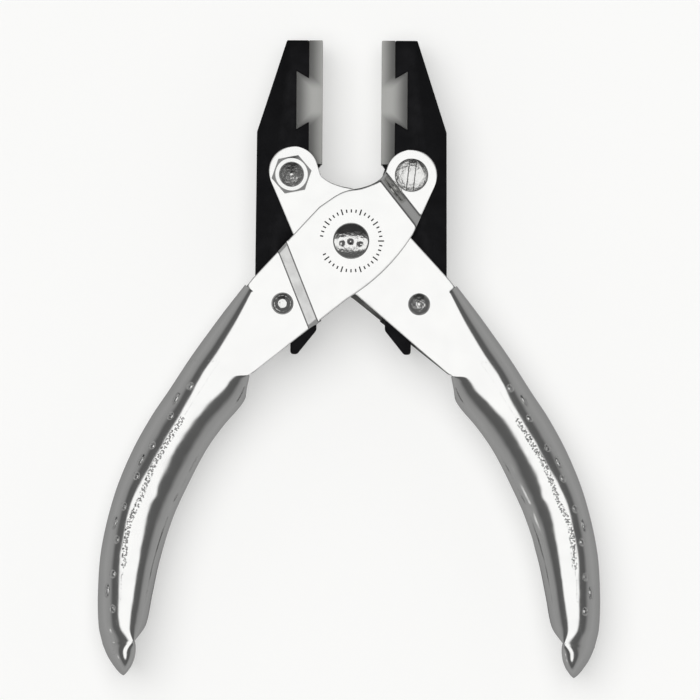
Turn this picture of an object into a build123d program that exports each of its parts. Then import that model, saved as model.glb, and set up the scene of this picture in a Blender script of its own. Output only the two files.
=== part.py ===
from build123d import *
import math
import os

# Flat nose pliers with parallel jaws and nylon jaw faces. Millimetres, Z up, lying flat.
# The jaws point along +Y and the grips along -Y. The origin is the handles' common pivot,
# halfway through the thickness. Both handles are the same pressing: the right one is the left one
# after half a turn about Y, which also swaps its front and rear. Shown fully open.

# Linkage. The right-hand places are given; the left-hand ones are their mirror images.
JAW_PIVOT_X, JAW_PIVOT_Y = 11.93, 13.15
GUIDE_PIN_X, GUIDE_PIN_Y = 13.61, -12.52
HALF_GAP = 5.9

# Thicknesses through Z, from the middle of the tool outwards.
SHEET = 1.5
SLIDE_GAP = 0.05
CHEEK_INSIDE = 4.0
CHEEK_OUTSIDE = CHEEK_INSIDE + SHEET
RAISED_INSIDE = CHEEK_OUTSIDE + SLIDE_GAP
RAISED_OUTSIDE = RAISED_INSIDE + SHEET
JAW_HALF_DEPTH = CHEEK_INSIDE - SLIDE_GAP

# Steps that lift the front cheek over the other handle: direction from the centre pivot in
# degrees, distance from the pivot to the raised side of the step, and width of the slope.
LOBE_STEP = (38.5, 12.05, 1.75)
GRIP_STEP = (201.9, 11.65, 2.6)

# Fasteners.
SCREW_RADIUS = 2.0
SCREW_HEAD_RADIUS, SCREW_HEAD_HEIGHT = 3.3, 1.8
SCREW_SLOT_WIDTH, SCREW_SLOT_DEPTH, SCREW_SLOT_LEAN = 1.2, 0.8, 4.0
PEENED_END_RADIUS, PEENED_END_HEIGHT = 2.45, 0.35
SCREW_HEAD_BREAK = 0.3
NUT_FLATS, NUT_HEIGHT, NUT_TURN, NUT_CHAMFER = 7.0, 2.2, 11.0, 0.3
NUT_CORNER_RADIUS = NUT_FLATS / math.sqrt(3)
RIVET_RADIUS, RIVET_HEAD_RADIUS, RIVET_HEAD_HEIGHT, RIVET_HEAD_RIM = 2.5, 3.6, 1.15, 0.15
RIVET_SUNK_RADIUS, RIVET_SUNK_DEPTH = 3.3, 0.8
GUIDE_RADIUS, GUIDE_HEAD_RADIUS, GUIDE_HEAD_HEIGHT = 1.45, 2.25, 0.7
RUNNING_GAP = 0.05
SLOT_HALF_WIDTH = GUIDE_RADIUS + 0.15

# Channel grip: folded depth, corner radius and the gap left between the two folded lips.
GRIP_DEPTH = 2 * CHEEK_OUTSIDE
GRIP_CORNER = 4.3
SEAM_HALF_GAP = 2.0
WEB_REACH = 6.0

# Stations down the left grip: a point on its outer edge, the one facing it on its inner edge,
# the depth and the corner radius. The first is where the inner lips begin.
GRIP_STATIONS = [
    ((-29.8, -20.3), (-20.25, -27.0), GRIP_DEPTH, GRIP_CORNER),
    ((-32.7, -24.5), (-21.3, -32.1), GRIP_DEPTH, GRIP_CORNER),
    ((-36.2, -29.9), (-25.4, -37.1), GRIP_DEPTH, GRIP_CORNER),
    ((-39.8, -35.3), (-28.7, -41.8), GRIP_DEPTH, GRIP_CORNER),
    ((-43.7, -42.5), (-32.1, -48.3), GRIP_DEPTH, GRIP_CORNER),
    ((-47.0, -50.9), (-35.3, -55.4), GRIP_DEPTH, GRIP_CORNER),
    ((-49.5, -61.3), (-37.9, -63.9), GRIP_DEPTH, GRIP_CORNER),
    ((-50.3, -70.1), (-39.4, -70.9), GRIP_DEPTH, GRIP_CORNER),
    ((-50.0, -77.3), (-40.5, -77.1), GRIP_DEPTH, GRIP_CORNER),
    ((-48.6, -82.2), (-42.0, -80.5), 9.6, 3.1),
    ((-46.4, -85.5), (-42.9, -83.7), 7.4, 1.8),
    ((-44.7, -87.2), (-43.5, -86.3), 5.0, 0.7),
]
LAST_HOLLOW_STATION = 9

# Where the outer web begins, above the first station: points on the outer edge, the ones
# facing them inside the handle, and the corner radius, which grows down the web.
WEB_STATIONS = [
    ((-21.1, -8.8), (-13.3, -15.05), 2.0),
    ((-25.4, -14.3), (-17.5, -20.43), 3.4),
    (GRIP_STATIONS[0][0], GRIP_STATIONS[0][1], GRIP_CORNER),
]
WEB_STEP = 0.45
CREST_OVERLAP = 0.5

# Outline points that both cheeks of a handle share, on the left handle.
THROAT_TURN = (-2.7, 9.2)
OUTER_SHOULDER = (-6.4, 6.7)
WEB_SHOULDER = (-19.6, -7.6)
LIP_START = GRIP_STATIONS[0][1]

# Jaw, right-hand one.
JAW_TOP = 40.0
JAW_TIP_X = 13.0
JAW_SHOULDER = (18.9, 21.7)
JAW_BACK_X = 19.2
JAW_FRONT_X = 6.85
SEAT_X, SEAT_Y = 8.6, 15.3
LEDGE_NOSE_X, LEDGE_RELIEF_Y = 6.1, 13.4
DOVETAIL_MOUTH = (23.7, 32.4)
DOVETAIL_BASE = (22.2, 33.9)
DOVETAIL_BASE_X = 11.1
TAIL_BOTTOM = -22.6
TAIL_CHAMFER_Y, TAIL_CHAMFER_X = -17.8, 10.7
TAIL_CORNER = 0.8
OUTER_PRONG_TIP, OUTER_PRONG_HEEL = -22.2, -20.8
EDGE_BREAK = 0.3

REACH = 80.0


def side_plane(x, y):
    """Upright plane through a point, with local X along X and local Y along Z."""
    return Plane(origin=(x, y, 0), x_dir=(1, 0, 0), z_dir=(0, -1, 0))


def section_plane(start, towards):
    """Upright plane at a start point: local X runs towards the second point and local Y is Z."""
    across = Vector(*towards) - Vector(*start)
    return Plane(origin=(*start, 0), x_dir=across, z_dir=(across.Y, -across.X, 0))


def between(start, towards, distance):
    """Point at a distance from the start point towards the second point."""
    share = distance / math.dist(start, towards)
    return tuple(a + share * (b - a) for a, b in zip(start, towards))


def grip_sections(stations, inset):
    """Plane, width, depth and corner radius of the grip's section at each station, drawn in."""
    sections = []
    for outer, inner, depth, corner in stations:
        width = math.dist(outer, inner)
        plane = section_plane(between(outer, inner, width / 2), inner)
        sections.append((plane, width - 2 * inset, depth - 2 * inset, corner - inset))
    return sections


def seam_outline():
    """Plan of the open seam between the folded lips: from the grip's middle to past its lips."""
    middles = []
    beyond = []
    for outer, inner, depth, corner in GRIP_STATIONS[:LAST_HOLLOW_STATION]:
        width = math.dist(outer, inner)
        middles.append(between(outer, inner, width / 2))
        beyond.append(between(outer, inner, width + GRIP_CORNER))
    return middles + beyond[::-1]


def dome_radius(rim_radius, height):
    """Radius of the sphere whose cap has this rim radius and height."""
    return (rim_radius**2 + height**2) / (2 * height)


def cheek_tail():
    """Outline points from a cheek's outer shoulder, along the web's rounding, to the lips."""
    web_outer, web_inner, web_corner = WEB_STATIONS[0]
    return [
        OUTER_SHOULDER,
        WEB_SHOULDER,
        between(web_outer, web_inner, WEB_STEP),
        between(web_outer, web_inner, web_corner + CREST_OVERLAP),
        between(GRIP_STATIONS[0][0], LIP_START, GRIP_CORNER + CREST_OVERLAP),
        LIP_START,
    ]


def stepped_cheek(outline, step, keep):
    """Half of the raised cheek, cut from a sheet that steps down away from the pivot."""
    angle, near, width = step
    across = (math.cos(math.radians(angle)), math.sin(math.radians(angle)))
    shift = SHEET * math.tan(math.atan2(RAISED_INSIDE - CHEEK_INSIDE, width) / 2)
    with BuildPart() as half:
        with BuildSketch(section_plane((0, 0), across)):
            with BuildLine():
                Polyline(
                    (-REACH, RAISED_INSIDE),
                    (near - shift, RAISED_INSIDE),
                    (near - shift + width, CHEEK_INSIDE),
                    (REACH, CHEEK_INSIDE),
                    (REACH, CHEEK_OUTSIDE),
                    (near + width, CHEEK_OUTSIDE),
                    (near, RAISED_OUTSIDE),
                    (-REACH, RAISED_OUTSIDE),
                    close=True,
                )
            make_face()
        extrude(amount=REACH, both=True)
        with BuildSketch(Plane.XY):
            add(outline)
        extrude(amount=REACH, mode=Mode.INTERSECT)
        split(bisect_by=Plane(origin=(0, 0, 0), z_dir=(1, 1, 0)), keep=keep)
    return half.part


# Raised cheek outline: a round lobe at the jaw pivot, an arched lower edge, the throat on top.
RAISED_LOBE = 5.1
with BuildSketch() as raised_outline:
    with BuildLine():
        lobe_arc = CenterArc((JAW_PIVOT_X, JAW_PIVOT_Y), RAISED_LOBE, -24, 200)
        throat_corner = (5.5, 11.7)
        Line(lobe_arc @ 1, throat_corner)
        Spline(throat_corner, (2.0, 10.4), (-0.6, 10.05), THROAT_TURN, OUTER_SHOULDER)
        Polyline(cheek_tail())
        Line(LIP_START, (-0.5, -11.4))
        ThreePointArc((-0.5, -11.4), (7.3, -5.1), (12.4, 1.6))
        Line((12.4, 1.6), lobe_arc @ 0)
    make_face()

# Flat cheek outline: its lobe stands a little higher and its lower edge is cut back.
FLAT_LOBE = 4.95
with BuildSketch() as flat_outline:
    with BuildLine():
        lobe_arc = CenterArc((JAW_PIVOT_X - 0.4, JAW_PIVOT_Y + 0.7), FLAT_LOBE, -24, 177)
        throat_corner = (6.1, 12.9)
        Line(lobe_arc @ 1, throat_corner)
        Spline(throat_corner, (4.5, 11.8), (2.1, 10.9), (-0.3, 10.4), THROAT_TURN, OUTER_SHOULDER)
        Polyline(cheek_tail())
        Polyline(LIP_START, (-13.0, -20.9), (-1.0, -10.7))
        ThreePointArc((-1.0, -10.7), (6.7, -4.6), (11.6, 1.3))
        Line((11.6, 1.3), lobe_arc @ 0)
    make_face()

# Left handle. The web and the grip are a folded channel, lofted outside and then hollowed.
with BuildPart() as handle_left:
    for outer, inner, corner in WEB_STATIONS:
        with BuildSketch(section_plane(outer, inner)):
            with Locations((WEB_REACH / 2, 0)):
                Rectangle(WEB_REACH, GRIP_DEPTH)
            fillet(vertices().group_by(Axis.X)[0], corner)
    loft()
    for outer, inner, corner in WEB_STATIONS:
        with BuildSketch(section_plane(outer, inner)):
            with Locations((SHEET + WEB_REACH / 2, 0)):
                Rectangle(WEB_REACH, GRIP_DEPTH - 2 * SHEET)
            fillet(vertices().group_by(Axis.X)[0], corner - SHEET)
    loft(mode=Mode.SUBTRACT)

    for plane, width, depth, corner in grip_sections(GRIP_STATIONS, 0):
        with BuildSketch(plane):
            RectangleRounded(width, depth, corner)
    loft()
    for plane, width, depth, corner in grip_sections(GRIP_STATIONS[:LAST_HOLLOW_STATION], SHEET):
        with BuildSketch(plane):
            RectangleRounded(width, depth, corner)
    loft(mode=Mode.SUBTRACT)
    with BuildSketch(Plane.XY):
        with BuildLine():
            Polyline(seam_outline(), close=True)
        make_face()
    extrude(amount=SEAM_HALF_GAP, both=True, mode=Mode.SUBTRACT)

    with BuildSketch(Plane.XY.offset(-CHEEK_OUTSIDE)):
        add(flat_outline)
    extrude(amount=SHEET)
    add(stepped_cheek(raised_outline.sketch, LOBE_STEP, Keep.TOP))
    add(stepped_cheek(raised_outline.sketch, GRIP_STEP, Keep.BOTTOM))

    with Locations((JAW_PIVOT_X, JAW_PIVOT_Y)):
        Hole(SCREW_RADIUS)
    with Locations((-GUIDE_PIN_X, GUIDE_PIN_Y)):
        Hole(GUIDE_RADIUS)
    with BuildSketch(Plane.XY):
        Circle(RIVET_RADIUS)
    extrude(amount=REACH, mode=Mode.SUBTRACT)
    with BuildSketch(Plane.XZ):
        with BuildLine():
            Polyline(
                (0, 0),
                (RIVET_SUNK_RADIUS + RUNNING_GAP, 0),
                (RIVET_SUNK_RADIUS + RUNNING_GAP, -CHEEK_INSIDE),
                (RIVET_RADIUS + RUNNING_GAP, -CHEEK_INSIDE - RIVET_SUNK_DEPTH),
                (RIVET_RADIUS + RUNNING_GAP, -REACH),
                (0, -REACH),
                close=True,
            )
        make_face()
    revolve(axis=Axis.Z, mode=Mode.SUBTRACT)

# Right handle: the same pressing after half a turn about Y.
with BuildPart() as handle_right:
    add(handle_left.part, rotation=(0, 180, 0))

# Right jaw holder: pivot bore, dovetail seat for the nylon, forked tail with an open slot.
with BuildPart() as jaw_right:
    with BuildSketch(Plane.XY):
        with BuildLine():
            Polyline(
                (LEDGE_NOSE_X, SEAT_Y),
                (SEAT_X, SEAT_Y),
                (SEAT_X, DOVETAIL_MOUTH[0]),
                (DOVETAIL_BASE_X, DOVETAIL_BASE[0]),
                (DOVETAIL_BASE_X, DOVETAIL_BASE[1]),
                (SEAT_X, DOVETAIL_MOUTH[1]),
                (SEAT_X, JAW_TOP),
                (JAW_TIP_X, JAW_TOP),
                JAW_SHOULDER,
                (JAW_BACK_X, OUTER_PRONG_TIP),
                (GUIDE_PIN_X + SLOT_HALF_WIDTH, OUTER_PRONG_HEEL),
                (GUIDE_PIN_X + SLOT_HALF_WIDTH, GUIDE_PIN_Y),
            )
            ThreePointArc(
                (GUIDE_PIN_X + SLOT_HALF_WIDTH, GUIDE_PIN_Y),
                (GUIDE_PIN_X, GUIDE_PIN_Y + SLOT_HALF_WIDTH),
                (GUIDE_PIN_X - SLOT_HALF_WIDTH, GUIDE_PIN_Y),
            )
            Polyline(
                (GUIDE_PIN_X - SLOT_HALF_WIDTH, GUIDE_PIN_Y),
                (GUIDE_PIN_X - SLOT_HALF_WIDTH, TAIL_BOTTOM),
                (TAIL_CHAMFER_X, TAIL_BOTTOM),
                (JAW_FRONT_X, TAIL_CHAMFER_Y),
                (JAW_FRONT_X, LEDGE_RELIEF_Y),
            )
            ThreePointArc(
                (JAW_FRONT_X, LEDGE_RELIEF_Y),
                (JAW_FRONT_X - 0.22, (LEDGE_RELIEF_Y + SEAT_Y) / 2 + 0.3),
                (LEDGE_NOSE_X, SEAT_Y),
            )
        make_face()
        tail_corners = vertices().filter_by_position(Axis.Y, TAIL_BOTTOM - 1, TAIL_CHAMFER_Y + 1)
        fillet(tail_corners.filter_by_position(Axis.X, 0, GUIDE_PIN_X), TAIL_CORNER)
    extrude(amount=JAW_HALF_DEPTH, both=True)
    with Locations((JAW_PIVOT_X, JAW_PIVOT_Y)):
        Hole(SCREW_RADIUS + RUNNING_GAP)
    back_edges = edges().filter_by_position(Axis.X, JAW_TIP_X + 1, JAW_BACK_X).sort_by(Edge.length)
    chamfer(back_edges[-4:], EDGE_BREAK)

# Left jaw holder: the right one's mirror image.
with BuildPart() as jaw_left:
    add(jaw_right.part, rotation=(0, 180, 0))

# Nylon jaw face, held by its dovetail.
with BuildPart() as nylon_insert_right:
    with BuildSketch(Plane.XY):
        with BuildLine():
            Polyline(
                (HALF_GAP, SEAT_Y),
                (SEAT_X, SEAT_Y),
                (SEAT_X, DOVETAIL_MOUTH[0]),
                (DOVETAIL_BASE_X, DOVETAIL_BASE[0]),
                (DOVETAIL_BASE_X, DOVETAIL_BASE[1]),
                (SEAT_X, DOVETAIL_MOUTH[1]),
                (SEAT_X, JAW_TOP),
                (HALF_GAP, JAW_TOP),
                close=True,
            )
        make_face()
    extrude(amount=JAW_HALF_DEPTH, both=True)

with BuildPart() as nylon_insert_left:
    add(nylon_insert_right.part, rotation=(0, 180, 0))

# Centre rivet of the two front cheeks: domed outside, flush countersunk head in the throat.
with BuildPart() as centre_rivet_front:
    with BuildSketch(Plane.XZ):
        with BuildLine():
            Polyline(
                (0, RAISED_OUTSIDE + RIVET_HEAD_HEIGHT),
                (0, CHEEK_INSIDE),
                (RIVET_SUNK_RADIUS, CHEEK_INSIDE),
                (RIVET_RADIUS, CHEEK_INSIDE + RIVET_SUNK_DEPTH),
                (RIVET_RADIUS, RAISED_OUTSIDE),
                (RIVET_HEAD_RADIUS, RAISED_OUTSIDE),
                (RIVET_HEAD_RADIUS, RAISED_OUTSIDE + RIVET_HEAD_RIM),
            )
            RadiusArc(
                (RIVET_HEAD_RADIUS, RAISED_OUTSIDE + RIVET_HEAD_RIM),
                (0, RAISED_OUTSIDE + RIVET_HEAD_HEIGHT),
                -dome_radius(RIVET_HEAD_RADIUS, RIVET_HEAD_HEIGHT - RIVET_HEAD_RIM),
            )
        make_face()
    revolve(axis=Axis.Z)

with BuildPart() as centre_rivet_rear:
    add(centre_rivet_front.part, rotation=(0, 180, 0))

# Slotted pivot screw of the right jaw: head in front, plain shank, peened end past the nut.
NUT_OUTSIDE = CHEEK_OUTSIDE + NUT_HEIGHT
with BuildPart() as pivot_screw_right:
    with BuildSketch(side_plane(JAW_PIVOT_X, JAW_PIVOT_Y)):
        with BuildLine():
            Polyline(
                (0, CHEEK_OUTSIDE + SCREW_HEAD_HEIGHT),
                (SCREW_HEAD_RADIUS, CHEEK_OUTSIDE + SCREW_HEAD_HEIGHT),
                (SCREW_HEAD_RADIUS, CHEEK_OUTSIDE),
                (SCREW_RADIUS, CHEEK_OUTSIDE),
                (SCREW_RADIUS, -NUT_OUTSIDE),
                (PEENED_END_RADIUS, -NUT_OUTSIDE),
            )
            RadiusArc(
                (PEENED_END_RADIUS, -NUT_OUTSIDE),
                (0, -NUT_OUTSIDE - PEENED_END_HEIGHT),
                dome_radius(PEENED_END_RADIUS, PEENED_END_HEIGHT),
            )
            Line(
                (0, -NUT_OUTSIDE - PEENED_END_HEIGHT),
                (0, CHEEK_OUTSIDE + SCREW_HEAD_HEIGHT),
            )
        make_face()
    revolve(axis=Axis((JAW_PIVOT_X, JAW_PIVOT_Y, 0), (0, 0, 1)))
    head_top = faces().sort_by(Axis.Z)[-1]
    fillet(head_top.edges(), SCREW_HEAD_BREAK)
    with BuildSketch(Plane.XY.offset(CHEEK_OUTSIDE + SCREW_HEAD_HEIGHT)):
        with Locations((JAW_PIVOT_X, JAW_PIVOT_Y)):
            Rectangle(SCREW_SLOT_WIDTH, 3 * SCREW_HEAD_RADIUS, rotation=-SCREW_SLOT_LEAN)
    extrude(amount=-SCREW_SLOT_DEPTH, mode=Mode.SUBTRACT)

with BuildPart() as pivot_screw_left:
    add(pivot_screw_right.part, rotation=(0, 180, 0))

# Nut of the left pivot screw, in front: a thin hexagon with both faces chamfered.
with BuildPart() as pivot_nut_left:
    with BuildSketch(Plane.XY.offset(CHEEK_OUTSIDE)):
        with Locations((-JAW_PIVOT_X, JAW_PIVOT_Y)):
            RegularPolygon(NUT_FLATS / 2, 6, major_radius=False, rotation=NUT_TURN)
    extrude(amount=NUT_HEIGHT)
    with BuildSketch(side_plane(-JAW_PIVOT_X, JAW_PIVOT_Y)):
        with BuildLine():
            Polyline(
                (SCREW_RADIUS, CHEEK_OUTSIDE),
                (NUT_FLATS / 2, CHEEK_OUTSIDE),
                (NUT_CORNER_RADIUS, CHEEK_OUTSIDE + NUT_CHAMFER),
                (NUT_CORNER_RADIUS, NUT_OUTSIDE - NUT_CHAMFER),
                (NUT_FLATS / 2, NUT_OUTSIDE),
                (SCREW_RADIUS, NUT_OUTSIDE),
                close=True,
            )
        make_face()
    revolve(axis=Axis((-JAW_PIVOT_X, JAW_PIVOT_Y, 0), (0, 0, 1)), mode=Mode.INTERSECT)

with BuildPart() as pivot_nut_right:
    add(pivot_nut_left.part, rotation=(0, 180, 0))

# Guide pin of the left handle: a rivet through both cheeks and the slot of the left jaw's tail.
with BuildPart() as guide_pin_left:
    with BuildSketch(side_plane(-GUIDE_PIN_X, GUIDE_PIN_Y)):
        with BuildLine():
            Polyline(
                (0, 0),
                (GUIDE_RADIUS, 0),
                (GUIDE_RADIUS, CHEEK_OUTSIDE),
                (GUIDE_HEAD_RADIUS, CHEEK_OUTSIDE),
            )
            RadiusArc(
                (GUIDE_HEAD_RADIUS, CHEEK_OUTSIDE),
                (0, CHEEK_OUTSIDE + GUIDE_HEAD_HEIGHT),
                -dome_radius(GUIDE_HEAD_RADIUS, GUIDE_HEAD_HEIGHT),
            )
            Line((0, CHEEK_OUTSIDE + GUIDE_HEAD_HEIGHT), (0, 0))
        make_face()
    revolve(axis=Axis((-GUIDE_PIN_X, GUIDE_PIN_Y, 0), (0, 0, 1)))
    mirror(about=Plane.XY)

with BuildPart() as guide_pin_right:
    add(guide_pin_left.part, rotation=(0, 180, 0))

pieces = {
    "handle_left": handle_left,
    "handle_right": handle_right,
    "jaw_left": jaw_left,
    "jaw_right": jaw_right,
    "nylon_insert_left": nylon_insert_left,
    "nylon_insert_right": nylon_insert_right,
    "centre_rivet_front": centre_rivet_front,
    "centre_rivet_rear": centre_rivet_rear,
    "pivot_screw_left": pivot_screw_left,
    "pivot_screw_right": pivot_screw_right,
    "pivot_nut_left": pivot_nut_left,
    "pivot_nut_right": pivot_nut_right,
    "guide_pin_left": guide_pin_left,
    "guide_pin_right": guide_pin_right,
}

os.makedirs("parts", exist_ok=True)
for name, piece in pieces.items():
    piece.part.label = name
    export_step(piece.part, f"parts/{name}.step")
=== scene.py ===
import logging
import math
from bisect import bisect
from dataclasses import dataclass, field
from enum import Enum
from itertools import accumulate
from typing import Callable, Sequence

import bmesh
import bpy
from mathutils import Euler, Matrix, Vector
from mathutils.bvhtree import BVHTree


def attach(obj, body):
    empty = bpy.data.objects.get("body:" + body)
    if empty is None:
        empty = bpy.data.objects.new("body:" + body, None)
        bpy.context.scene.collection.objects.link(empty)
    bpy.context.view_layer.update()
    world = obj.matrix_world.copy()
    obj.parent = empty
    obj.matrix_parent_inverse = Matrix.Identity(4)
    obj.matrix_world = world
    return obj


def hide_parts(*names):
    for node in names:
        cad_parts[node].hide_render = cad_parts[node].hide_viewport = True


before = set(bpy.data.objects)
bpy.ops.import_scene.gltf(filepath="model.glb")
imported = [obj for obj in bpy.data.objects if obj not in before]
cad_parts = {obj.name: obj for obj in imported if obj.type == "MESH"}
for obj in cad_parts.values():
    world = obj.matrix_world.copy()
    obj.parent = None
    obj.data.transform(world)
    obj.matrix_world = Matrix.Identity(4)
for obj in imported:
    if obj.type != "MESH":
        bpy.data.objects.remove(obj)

MM = 0.001
# Nylon dovetail: how far out its face and its root lie, then the middle and half length of its root; they
# place the painted shade on the nylon.
DOVETAIL_DEPTHS = (8.6, 11.1)
DOVETAIL_SPAN = (28.05, 5.4)
log = logging.getLogger("pliers")

Plan = tuple[float, float]
Spot = tuple[float, float, float]
Row = list[Spot]
Place = Callable[[Spot], Spot]
Tree = bpy.types.NodeTree
Node = bpy.types.Node
Socket = bpy.types.NodeSocket
Thing = bpy.types.Object
Material = bpy.types.Material


# ---------------------------------------------------------------- small tools


def linear(shade: str) -> tuple[float, float, float, float]:
    """Turns an sRGB hex colour into linear light.

    Args:
        shade: Six hex digits after a hash.

    Returns:
        Red, green, blue and an alpha of one.
    """
    parts = [int(shade[i : i + 2], 16) / 255 for i in (1, 3, 5)]
    light = [c / 12.92 if c <= 0.04045 else ((c + 0.055) / 1.055) ** 2.4 for c in parts]
    return light[0], light[1], light[2], 1.0


def add_node(tree: Tree, kind: str, inputs: dict | None = None, **settings) -> Node:
    """Adds a node, gives it its settings and fills its sockets.

    Args:
        tree: The node tree that gets it.
        kind: The node's type name.
        inputs: Socket name or number to a plain value, or to the output socket it is linked from.
        settings: Properties of the node.

    Returns:
        The new node.
    """
    node = tree.nodes.new(kind)
    for name, value in settings.items():
        setattr(node, name, value)
    for key, value in (inputs or {}).items():
        if isinstance(value, Socket):
            tree.links.new(value, node.inputs[key])
        else:
            node.inputs[key].default_value = value
    return node


def reckon(tree: Tree, operation: str, a: float | Socket, b: float | Socket = 0.0) -> Socket:
    """Result of one step of arithmetic in a node tree."""
    return add_node(tree, "ShaderNodeMath", {0: a, 1: b}, operation=operation).outputs[0]


def remap(tree: Tree, value: Socket, given: Plan, wanted: Plan, kind: str = "LINEAR") -> Socket:
    """Value moved from a given range to a wanted one in a node tree."""
    inputs = {0: value, 1: given[0], 2: given[1], 3: wanted[0], 4: wanted[1]}
    return add_node(tree, "ShaderNodeMapRange", inputs, interpolation_type=kind).outputs[0]


def unit(angle: float) -> Plan:
    """Plan direction at an angle in degrees from +X."""
    return math.cos(math.radians(angle)), math.sin(math.radians(angle))


def blend(a: Sequence[float], b: Sequence[float], share: float) -> tuple[float, ...]:
    """Point, or list of numbers, at a share of the way from a to b."""
    return tuple(p + share * (q - p) for p, q in zip(a, b))


def arc(centre: Plan, radius: float, start: float, sweep: float, count: int = 24) -> list[Plan]:
    """Points on an arc, ends included; angles in degrees."""
    turns = [unit(start + sweep * i / count) for i in range(count + 1)]
    return [(centre[0] + radius * c, centre[1] + radius * s) for c, s in turns]


def arc_through(a: Plan, b: Plan, c: Plan, count: int = 24) -> list[Plan]:
    """Spreads points on the arc through three others.

    Args:
        a: Where the arc starts.
        b: A point on its way.
        c: Where it ends.
        count: How many steps it has.

    Returns:
        The points, ends included.
    """
    d = 2 * (a[0] * (b[1] - c[1]) + b[0] * (c[1] - a[1]) + c[0] * (a[1] - b[1]))
    sq = [p[0] ** 2 + p[1] ** 2 for p in (a, b, c)]
    x = (sq[0] * (b[1] - c[1]) + sq[1] * (c[1] - a[1]) + sq[2] * (a[1] - b[1])) / d
    y = (sq[0] * (c[0] - b[0]) + sq[1] * (a[0] - c[0]) + sq[2] * (b[0] - a[0])) / d
    start = math.degrees(math.atan2(a[1] - y, a[0] - x))
    sweep = math.degrees(math.atan2(c[1] - y, c[0] - x)) - start
    middle = (math.degrees(math.atan2(b[1] - y, b[0] - x)) - start) % 360
    sweep = sweep % 360 if middle < sweep % 360 else sweep % 360 - 360
    return arc((x, y), math.hypot(a[0] - x, a[1] - y), start, sweep, count)


def runs(points: Sequence[Sequence[float]]) -> list[float]:
    """Distance of each point along the chain that they make."""
    return [0.0, *accumulate(math.dist(a, b) for a, b in zip(points, points[1:]))]


def towards(a: Sequence[float], b: Sequence[float]) -> Plan:
    """Unit direction in plan from a to b."""
    span = math.dist(a, b)
    return (b[0] - a[0]) / span, (b[1] - a[1]) / span


def stepped(a: Sequence[float], way: Plan, distance: float) -> Plan:
    """Plan point at a distance from a in a unit direction."""
    return a[0] + way[0] * distance, a[1] + way[1] * distance


def even(length: float, count: int) -> list[float]:
    """Places spread evenly over a length, ends included."""
    return [length * i / count for i in range(count + 1)]


def flowing(knots: Sequence[Sequence[float]], steps: Sequence[float], places: Sequence[float]) -> list[tuple]:
    """Smooth curve through knots of any number of values.

    Args:
        knots: The values at each knot.
        steps: The place of each knot along the curve, rising.
        places: Where the curve is wanted.

    Returns:
        The values at each place.
    """
    last = len(knots) - 1
    slopes = []
    for i in range(last + 1):
        lo, hi = max(0, i - 1), min(last, i + 1)
        slopes.append([(q - p) / (steps[hi] - steps[lo]) for p, q in zip(knots[lo], knots[hi])])
    found = []
    for place in places:
        i = max(k for k in range(last) if steps[k] <= place + 1e-9)
        h = steps[i + 1] - steps[i]
        u = (place - steps[i]) / h
        a, b = 2 * u**3 - 3 * u**2 + 1, u**3 - 2 * u**2 + u
        c, d = 3 * u**2 - 2 * u**3, u**3 - u**2
        ends = zip(knots[i], slopes[i], knots[i + 1], slopes[i + 1])
        found.append(tuple(a * p + b * h * m + c * q + d * h * n for p, m, q, n in ends))
    return found


# ---------------------------------------------------------------- mesh making


@dataclass
class Pad:
    """Gathers points in millimetres and faces, and turns them into a piece."""

    spots: list[Spot] = field(default_factory=list)
    faces: list[tuple[int, ...]] = field(default_factory=list)

    def grid(self, rows: Sequence[Row], closed: bool = False, flip: bool = False) -> None:
        """Adds a sheet of quads.

        Args:
            rows: Rows of equal length.
            closed: Whether each row joins its own start.
            flip: Whether the faces look the other way.
        """
        base, width = len(self.spots), len(rows[0])
        for row in rows:
            self.spots.extend(row)
        for i in range(len(rows) - 1):
            for j in range(width if closed else width - 1):
                k = (j + 1) % width
                face = [base + i * width + j, base + (i + 1) * width + j]
                face += [base + (i + 1) * width + k, base + i * width + k]
                self.faces.append(tuple(face[::-1] if flip else face))

    def cap(self, row: Row, flip: bool = False) -> None:
        """Closes a ring of points with one face.

        Args:
            row: The ring.
            flip: Whether the face looks the other way.
        """
        base = len(self.spots)
        self.spots.extend(row)
        ring = list(range(base, base + len(row)))
        self.faces.append(tuple(ring[::-1] if flip else ring))

    def prism(self, outline: Sequence[Plan], low: float, high: float) -> None:
        """Adds an upright block.

        Args:
            outline: Its plan.
            low: Height of its underside.
            high: Height of its top.
        """
        low_row = [(x, y, low) for x, y in outline]
        high_row = [(x, y, high) for x, y in outline]
        self.grid([low_row, high_row], closed=True)
        self.cap(low_row)
        self.cap(high_row)

    def lathe(self, profile: Sequence[Plan], centre: Plan, around: int = 64) -> None:
        """Adds a turned shape.

        Args:
            profile: Radius and height of its points, from the axis on top to the axis below.
            centre: Where its axis stands.
            around: How many facets go round it.
        """
        rows = []
        for radius, height in profile:
            ring = arc((0, 0), max(radius, 1e-5), 0, 360, around)[:-1]
            rows.append([(centre[0] + x, centre[1] + y, height) for x, y in ring])
        self.grid(rows, closed=True)

    def piece(self, name: str, place: Place | None = None, recalc: bool = True) -> Thing:
        """Makes the object.

        Args:
            name: The piece's name.
            place: Moves each point, for the twin on the other side.
            recalc: Whether the faces are turned to look outwards.

        Returns:
            The new object, in metres, at the origin.
        """
        spots = [place(p) for p in self.spots] if place else self.spots
        mesh = bpy.data.meshes.new(name)
        mesh.from_pydata([Vector(p) * MM for p in spots], [], self.faces)
        shape = bmesh.new()
        shape.from_mesh(mesh)
        bmesh.ops.remove_doubles(shape, verts=shape.verts, dist=2e-3 * MM)
        bmesh.ops.dissolve_degenerate(shape, edges=shape.edges, dist=1e-4 * MM)
        if recalc:
            bmesh.ops.recalc_face_normals(shape, faces=shape.faces)
        shape.to_mesh(mesh)
        shape.free()
        thing = bpy.data.objects.new(name, mesh)
        bpy.context.scene.collection.objects.link(thing)
        return thing


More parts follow.
